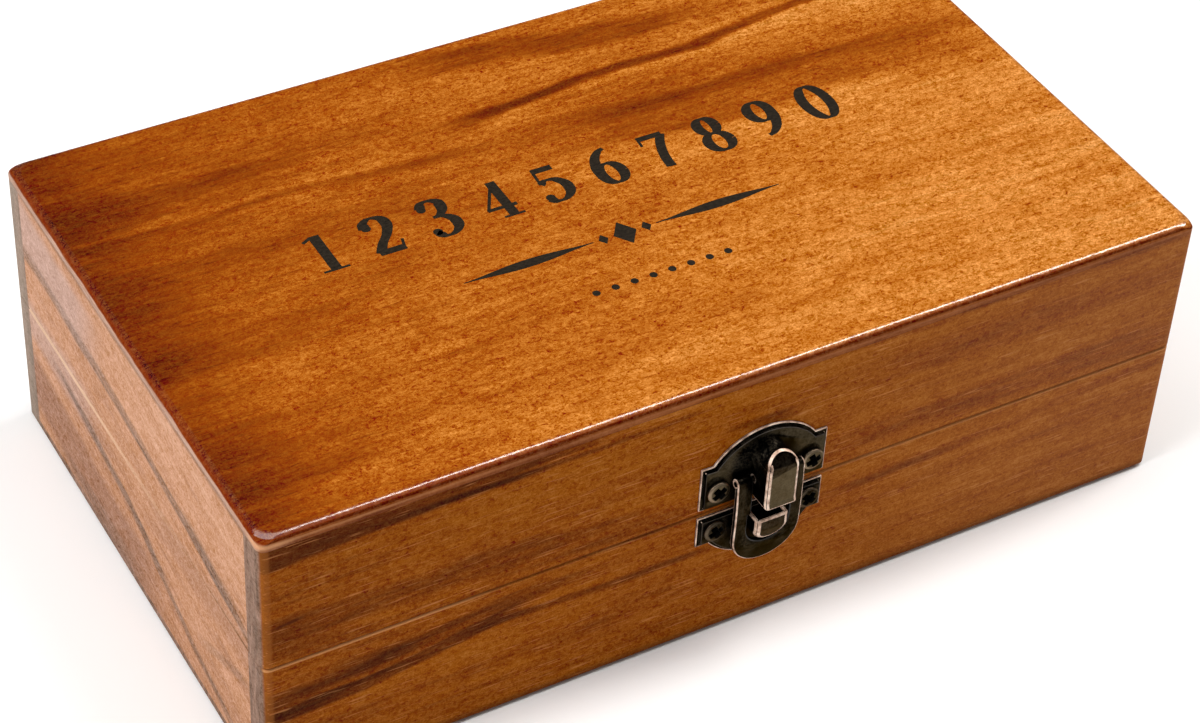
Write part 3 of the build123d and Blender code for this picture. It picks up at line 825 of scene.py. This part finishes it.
# Screws with cross recesses

TO_FRONT, TO_REAR = -1, 1
SCREW_SIDES = 40
CUTTER_TOP = 0.1 * MM
CUTTER_TAPER = 0.55


def turns(count):
    """The angles of so many points round a circle."""
    return [2 * math.pi * i / count for i in range(count)]


def lathe(work, outline):
    """Turns an outline of (radius, height) points round Z."""
    rings = []
    for radius, height in outline:
        if radius == 0:
            rings.append([work.verts.new((0, 0, height))])
        else:
            places = [(radius * math.cos(a), radius * math.sin(a), height) for a in turns(SCREW_SIDES)]
            rings.append([work.verts.new(place) for place in places])
    for lower, upper in zip(rings, rings[1:]):
        for i in range(SCREW_SIDES):
            j = (i + 1) % SCREW_SIDES
            if len(lower) == 1:
                work.faces.new((lower[0], upper[i], upper[j]))
            elif len(upper) == 1:
                work.faces.new((lower[i], lower[j], upper[0]))
            else:
                work.faces.new((lower[i], lower[j], upper[j], upper[i]))


def cross_cutter(reach, width, depth):
    """A tapered cross that a driver's recess is cut with."""
    work = bmesh.new()
    for turn in (0, math.pi / 2):
        corners = []
        for height, spread in ((CUTTER_TOP, 1.0), (CUTTER_TOP - depth, CUTTER_TAPER)):
            for sx, sy in ((-1, -1), (1, -1), (1, 1), (-1, 1)):
                corner = Vector((sx * reach * spread, sy * width * (0.5 + 0.5 * spread), height))
                corners.append(work.verts.new(Matrix.Rotation(turn, 3, "Z") @ corner))
        high, low = corners[:4], corners[4:]
        work.faces.new(high)
        work.faces.new(low[::-1])
        for i in range(4):
            j = (i + 1) % 4
            work.faces.new((high[j], high[i], low[i], low[j]))
    return mesh_from(work, "cutter")


def screw_outline(radius, dome, side, shank_radius, shank_length, steps):
    """The (radius, height) points of a screw in metres, from its shank's end to the top of its domed head."""
    radius, dome, side, shank_radius, shank_length = (
        size * MM for size in (radius, dome, side, shank_radius, shank_length))
    under = -dome - side
    points = [(0.0, -shank_length), (shank_radius, -shank_length), (shank_radius, under), (radius, under)]
    for step in range(steps, -1, -1):
        angle = math.pi / 2 * step / steps
        points.append((radius * math.sin(angle), -dome + dome * math.cos(angle)))
    return points


def screw_mesh(name, outline, reach, width, depth):
    """A turned screw head with a cross recess; the recess takes the second material."""
    work = bmesh.new()
    lathe(work, outline)
    for face in work.faces:
        face.smooth = True
    head = new_object(name + "_work", mesh_from(work, name))
    cutter = new_object(name + "_cutter", cross_cutter(reach, width, depth))
    paint(head, screw_metal, recess_black)
    paint(cutter, recess_black)
    cut = head.modifiers.new("recess", "BOOLEAN")
    cut.operation = "DIFFERENCE"
    cut.solver = "EXACT"
    cut.use_self = True
    cut.material_mode = "TRANSFER"
    cut.object = cutter
    bpy.context.view_layer.update()
    depsgraph = bpy.context.evaluated_depsgraph_get()
    result = bpy.data.meshes.new_from_object(head.evaluated_get(depsgraph))
    for obj in (head, cutter):
        bpy.data.objects.remove(obj)
    return result


def screws(node_name, piece_name, body, mesh, facing, degrees):
    """Puts one detailed screw over each solid of a screw node, its head flush with the solid's head."""
    work = bmesh.new()
    for (low, high), turn in zip(solids_of(node_name), degrees):
        middle = (low + high) / 2
        head = low.y if facing < 0 else high.y
        place = Matrix.Translation((middle.x, head, middle.z))
        tilt = Matrix.Rotation(math.radians(90) * -facing, 4, "X")
        spin = Matrix.Rotation(math.radians(turn), 4, "Z")
        one = mesh.copy()
        one.transform(place @ tilt @ spin)
        work.from_mesh(one)
    piece = add_piece(piece_name, mesh_from(work, piece_name), body, screw_metal, recess_black)
    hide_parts(node_name)


latch_outline = screw_outline(radius=1.85, dome=0.4, side=0.35, shank_radius=0.78, shank_length=2.0, steps=8)
hinge_outline = screw_outline(radius=1.5, dome=0.35, side=0.25, shank_radius=0.7, shank_length=1.4, steps=6)
latch_screw = screw_mesh("latch_screw", latch_outline, reach=1.4 * MM, width=0.54 * MM, depth=0.75 * MM)
hinge_screw = screw_mesh("hinge_screw", hinge_outline, reach=0.95 * MM, width=0.24 * MM, depth=0.5 * MM)

screws("latch_upper_screws", "upper_screws_piece", "lid", latch_screw, TO_FRONT,
       (38, 20))
screws("latch_lower_screws", "lower_screws_piece", "base", latch_screw, TO_FRONT,
       (24, 50))
screws("hinge_lid_screws", "hinge_lid_screws_piece", "lid", hinge_screw, TO_REAR,
       (15, 40, 5, 62))
screws("hinge_base_screws", "hinge_base_screws_piece", "base", hinge_screw, TO_REAR,
       (33, 8, 70, 25))


# Print on the lid: plain numerals, a swelled rule and a row of dots

def smooth_line(points, steps=10):
    """Points along a smooth line through the given ones."""
    ends = [points[0]] + list(points) + [points[-1]]
    line = []
    for a, b, c, d in zip(ends, ends[1:], ends[2:], ends[3:]):
        for k in range(steps):
            t = k / steps
            line.append(tuple(
                0.5 * (2 * b[i] + (c[i] - a[i]) * t + (2 * a[i] - 5 * b[i] + 4 * c[i] - d[i]) * t * t
                       + (3 * b[i] - a[i] - 3 * c[i] + d[i]) * t ** 3) for i in (0, 1)))
    line.append(tuple(points[-1]))
    return line


THIN, THICK = 0.06, 0.2
LEVELS, LEVEL_STEP = 61.0, 0.0002 * MM
INK_THICKNESS, INK_CLEARANCE = 0.02 * MM, 0.004 * MM


def layer(work):
    """A height of its own for each stroke, as a count, so that strokes that cross don't share a plane."""
    return float(len(work.faces))


def ribbon(work, line, thin=THIN, thick=THICK):
    """A stroke along a line that is thick where it runs upright and thin where it runs level."""
    left, right = [], []
    level = layer(work)
    last = len(line) - 1
    for i, (x, y) in enumerate(line):
        before, after = line[max(i - 1, 0)], line[min(i + 1, last)]
        dx, dy = after[0] - before[0], after[1] - before[1]
        size = math.hypot(dx, dy) or 1.0
        half = (thin + (thick - thin) * (abs(dy) / size) ** 1.5) / 2
        left.append(work.verts.new((x - dy / size * half, y + dx / size * half, level)))
        right.append(work.verts.new((x + dy / size * half, y - dx / size * half, level)))
    for i in range(last):
        work.faces.new((left[i], left[i + 1], right[i + 1], right[i]))


def block(work, x0, y0, x1, y1):
    """An oblong from one corner to the other."""
    level = layer(work)
    corners = [work.verts.new((x, y, level)) for x, y in ((x0, y0), (x1, y0), (x1, y1), (x0, y1))]
    work.faces.new(corners)


def disc(work, x, y, radius, sides=20):
    """A round dot."""
    level = layer(work)
    places = [(x + radius * math.cos(a), y + radius * math.sin(a), level) for a in turns(sides)]
    work.faces.new([work.verts.new(place) for place in places])


def ring(work, x, y, half_width, half_height, steps=48):
    """An oval stroke."""
    turn = [2 * math.pi * i / steps for i in range(steps + 1)]
    ribbon(work, [(x + half_width * math.cos(a), y + half_height * math.sin(a)) for a in turn])


def curve(work, points, thin=THIN, thick=THICK):
    """A smooth stroke through points."""
    ribbon(work, smooth_line(points), thin, thick)


# Each numeral's strokes, 1 high and about 0.6 wide, with upright stress
STROKES = {
    0: [(ring, 0.3, 0.5, 0.225, 0.47)],
    1: [(block, 0.215, 0.03, 0.405, 0.96), (block, 0.08, 0.0, 0.54, 0.05),
        (ribbon, [(0.08, 0.85), (0.24, 0.93)], 0.06, 0.06)],
    2: [(curve, [(0.09, 0.74), (0.13, 0.89), (0.28, 0.97), (0.44, 0.9), (0.48, 0.72), (0.38, 0.5),
                 (0.2, 0.28), (0.07, 0.06)]),
        (block, 0.05, 0.0, 0.52, 0.14), (ribbon, [(0.5, 0.1), (0.545, 0.27)], 0.05, 0.05),
        (disc, 0.12, 0.75, 0.085)],
    3: [(curve, [(0.08, 0.8), (0.16, 0.94), (0.3, 0.97), (0.44, 0.88), (0.43, 0.68), (0.32, 0.56),
                 (0.2, 0.53)]),
        (curve, [(0.2, 0.53), (0.38, 0.5), (0.5, 0.36), (0.49, 0.17), (0.36, 0.04), (0.2, 0.02),
                 (0.08, 0.14)]),
        (disc, 0.1, 0.79, 0.08), (disc, 0.1, 0.16, 0.085)],
    4: [(block, 0.32, 0.02, 0.5, 0.97), (block, 0.22, 0.0, 0.6, 0.05), (block, 0.03, 0.24, 0.58, 0.32),
        (ribbon, [(0.05, 0.28), (0.42, 0.95)], 0.055, 0.055)],
    5: [(block, 0.12, 0.83, 0.5, 0.96), (ribbon, [(0.14, 0.94), (0.11, 0.52)], 0.055, 0.055),
        (curve, [(0.11, 0.52), (0.22, 0.6), (0.38, 0.57), (0.51, 0.4), (0.49, 0.18), (0.35, 0.04),
                 (0.18, 0.02), (0.07, 0.13)]),
        (disc, 0.1, 0.15, 0.085)],
    6: [(ring, 0.31, 0.3, 0.195, 0.27),
        (curve, [(0.115, 0.3), (0.125, 0.52), (0.22, 0.76), (0.36, 0.91), (0.48, 0.96)])],
    7: [(block, 0.06, 0.84, 0.54, 0.96), (ribbon, [(0.085, 0.9), (0.065, 0.7)], 0.05, 0.05),
        (curve, [(0.52, 0.9), (0.38, 0.62), (0.29, 0.32), (0.26, 0.02)], 0.09, 0.18)],
    8: [(ring, 0.3, 0.73, 0.16, 0.22), (ring, 0.3, 0.265, 0.205, 0.245)],
}
TURNED_WIDTH = 0.6


def numeral(work, digit):
    """A numeral of unit height on its baseline; a 9 is a 6 turned over."""
    before = len(work.verts)
    for draw, *sizes in STROKES[6 if digit == 9 else digit]:
        draw(work, *sizes)
    if digit == 9:
        work.verts.ensure_lookup_table()
        for vert in work.verts[before:]:
            vert.co.x, vert.co.y = TURNED_WIDTH - vert.co.x, 1.0 - vert.co.y


def print_piece(name, work):
    """Gives a flat drawing in metres a film's thickness."""
    for face in work.faces:
        if face.normal.z < 0:
            face.normal_flip()
    piece = add_piece(name, mesh_from(work, name), "lid", ink_film)
    film = piece.modifiers.new("film", "SOLIDIFY")
    film.thickness = INK_THICKNESS
    film.offset = 1.0


lid_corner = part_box("lid_top_panel")[1]
lid_top = lid_corner.z + INK_CLEARANCE
half_x, half_y = lid_corner.x / MM, lid_corner.y / MM


def lay(work, start, x=0, y=0, size=1):
    """Moves vertices made since start from unit size to their place, in millimetres from the lid's corner."""
    work.verts.ensure_lookup_table()
    for vert in work.verts[start:]:
        level = (vert.co.z % LEVELS) * LEVEL_STEP
        place = ((x - half_x + vert.co.x * size) * MM, (y - half_y + vert.co.y * size) * MM, lid_top + level)
        vert.co = Vector(place)


def spread(first, last, count):
    """Places with even gaps from first to last."""
    return [first + (last - first) * index / (count - 1) for index in range(count)]


NUMERALS = (1, 2, 3, 4, 5, 6, 7, 8, 9, 0)
FIRST_NUMERAL_X, LAST_NUMERAL_X, NUMERAL_BASE_Y, NUMERAL_HEIGHT = 31.2, 116.4, 46.6, 9.0
RULE_STARTS, RULE_Y, RULE_LENGTH, RULE_FATNESS, HAIR, RULE_STEPS = (49.0, 81.2), 35.8, 21.5, 0.8, 0.08, 24
FIRST_DOT_X, LAST_DOT_X, DOTS_Y, DOT_RADIUS, DOT_COUNT, DOT_SIDES = 65.2, 87.5, 25.4, 0.62, 8, 16
LOZENGES = ((75.85, 2.7), (72.2, 1.15), (79.5, 1.15))
LOZENGE_WIDTH = 0.72

row = bmesh.new()
for digit, x in zip(NUMERALS, spread(FIRST_NUMERAL_X, LAST_NUMERAL_X, len(NUMERALS))):
    start = len(row.verts)
    numeral(row, digit)
    row.normal_update()
    lay(row, start, x, NUMERAL_BASE_Y, NUMERAL_HEIGHT)
print_piece("print_numerals", row)


def swelled(work, x0):
    """A rule that swells from hair-thin ends to its middle."""
    start = len(work.verts)
    upper, lower = [], []
    for i in range(RULE_STEPS + 1):
        share = i / RULE_STEPS
        half = HAIR + RULE_FATNESS * math.sin(math.pi * share) ** 1.6
        upper.append(work.verts.new((x0 + RULE_LENGTH * share, RULE_Y + half, 0)))
        lower.append(work.verts.new((x0 + RULE_LENGTH * share, RULE_Y - half, 0)))
    for i in range(RULE_STEPS):
        work.faces.new((lower[i], lower[i + 1], upper[i + 1], upper[i]))
    lay(work, start)


def lozenge(work, x, half):
    """A lozenge on the rule's line, a little taller than it is wide."""
    start = len(work.verts)
    points = ((half * LOZENGE_WIDTH, 0), (0, half), (-half * LOZENGE_WIDTH, 0), (0, -half))
    work.faces.new([work.verts.new((x + dx, RULE_Y + dy, 0)) for dx, dy in points])
    lay(work, start)


rule = bmesh.new()
for x in RULE_STARTS:
    swelled(rule, x)
for x, half in LOZENGES:
    lozenge(rule, x, half)
rule.normal_update()
print_piece("print_rule", rule)

dots = bmesh.new()
for x in spread(FIRST_DOT_X, LAST_DOT_X, DOT_COUNT):
    start = len(dots.verts)
    disc(dots, 0, 0, DOT_RADIUS, DOT_SIDES)
    lay(dots, start, x, DOTS_Y)
dots.normal_update()
print_piece("print_dots", dots)


# Floor, lights and camera

FLOOR_SIZE = 6.0
LIGHT_DISTANCE, AIM_HEIGHT = 1.3, 0.03
WHITE, WARM = (1.0, 1.0, 1.0), (1.0, 0.97, 0.94)

# Each light's direction from the box, its width and length in metres, its power in watts and its colour
LIGHTS = {
    "left_softbox": ((-0.8, 0.05, 0.6), 0.9, 0.9, 14.0, WHITE),
    "right_softbox": ((0.59, -0.02, 0.81), 0.32, 1.15, 13.0, WARM),
    "ceiling_softbox": ((-0.22, 0.1, 0.97), 0.95, 1.1, 7.0, WHITE),
}

# How bright the world is in front of the box and behind it, and where along Y it reaches that
FRONT_SKY, REAR_SKY = 0.26, 0.06
FRONT_SKY_AT, REAR_SKY_AT = -0.4, 0.5

floor_work = bmesh.new()
bmesh.ops.create_grid(floor_work, x_segments=1, y_segments=1, size=FLOOR_SIZE)
floor = new_object("floor", mesh_from(floor_work, "floor"))
floor_graph = Graph("pale_floor")
floor_tone = floor_graph.ramp(floor_graph.noise((300.0, 300.0, 300.0)),
                              [(0.3, (0.93, 0.93, 0.93, 1.0)), (0.7, (0.95, 0.95, 0.95, 1.0))])
paint(floor, floor_graph.surface(floor_tone, 0.9, specular=0.1))

for name, (direction, width, length, power, colour) in LIGHTS.items():
    data = bpy.data.lights.new(name, "AREA")
    data.shape = "RECTANGLE"
    data.size = width
    data.size_y = length
    data.energy = power
    data.color = colour
    light = new_object(name, data)
    aim = Vector(direction).normalized()
    light.location = aim * LIGHT_DISTANCE + Vector((0, 0, AIM_HEIGHT))
    light.rotation_mode = "QUATERNION"
    light.rotation_quaternion = aim.to_track_quat("Z", "Y")

world = bpy.data.worlds.new("studio")
world.use_nodes = True
sky = world.node_tree
depth = sky.nodes.new("ShaderNodeSeparateXYZ")
sky.links.new(sky.nodes.new("ShaderNodeTexCoord").outputs["Generated"], depth.inputs[0])
fade = sky.nodes.new("ShaderNodeMapRange")
sky.links.new(depth.outputs[1], fade.inputs[0])
for socket, value in zip(fade.inputs[1:5], (FRONT_SKY_AT, REAR_SKY_AT, FRONT_SKY, REAR_SKY)):
    socket.default_value = value
sky.links.new(fade.outputs[0], sky.nodes["Background"].inputs[1])
sky.nodes["Background"].inputs[0].default_value = WHITE + (1.0,)
scene.world = world
scene.view_settings.view_transform = "Standard"
scene.view_settings.look = "None"

# The camera fitted to the box's edges: its place, and its right, up and back directions
CAMERA_PLACE = (-0.192941, -0.317123, 0.339306)
CAMERA_RIGHT = (0.871832, -0.487696, 0.04541)
CAMERA_UP = (0.290822, 0.590021, 0.753192)
CAMERA_BACK = (-0.394121, -0.64345, 0.656232)

camera_data = bpy.data.cameras.new("camera")
camera_data.sensor_width = 36.0
camera_data.lens = 93.655
camera = new_object("camera", camera_data)
rotation = Matrix((CAMERA_RIGHT, CAMERA_UP, CAMERA_BACK)).transposed().to_4x4()
camera.matrix_world = Matrix.Translation(CAMERA_PLACE) @ rotation
scene.camera = camera
